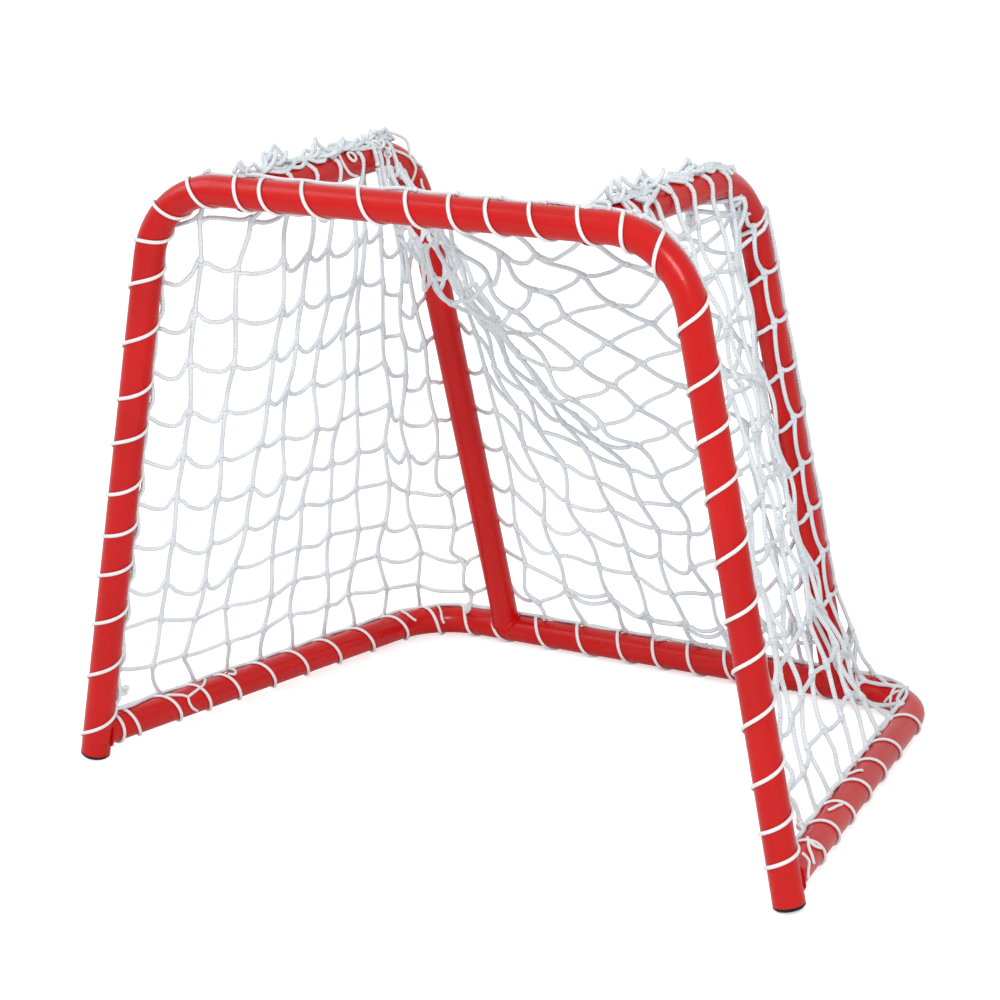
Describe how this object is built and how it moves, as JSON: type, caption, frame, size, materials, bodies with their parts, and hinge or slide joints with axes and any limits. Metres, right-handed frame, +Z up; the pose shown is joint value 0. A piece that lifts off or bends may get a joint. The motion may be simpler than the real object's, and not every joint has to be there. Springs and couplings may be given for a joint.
{
  "type": "street hockey goal",
  "caption": "Small free-standing street hockey goal: a painted round-tube frame with a laced square-mesh net that stops the ball or puck shot into it.",
  "frame": {"origin": "on the floor, in the middle of the goal's width and depth", "axes": "+Z up, +X across the mouth, and the open mouth faces -Y"},
  "size_m": [0.8652, 0.5924, 0.6666],
  "materials": {
    "red_paint": "gloss",
    "cap_plastic": "matte",
    "net_cord": "matte",
    "lacing_cord": "satin"
  },
  "bodies": {
    "root": {"base_frame": "red_paint", "foot_cap_left": "cap_plastic", "foot_cap_right": "cap_plastic", "front_hoop": "red_paint", "knot_base_left": "lacing_cord", "knot_base_right": "lacing_cord", "knot_leg_left": "lacing_cord", "knot_leg_right": "lacing_cord", "lacing_base": "lacing_cord", "lacing_front": "lacing_cord", "net_back": "net_cord", "net_cheek_left": "net_cord", "net_cheek_right": "net_cord", "net_corner_left": "net_cord", "net_corner_right": "net_cord", "net_gather_left": "net_cord", "net_gather_right": "net_cord", "net_side_left": "net_cord", "net_side_right": "net_cord", "net_top": "net_cord", "rear_hoop_left": "red_paint", "rear_hoop_right": "red_paint"}
  },
  "joints": []
}
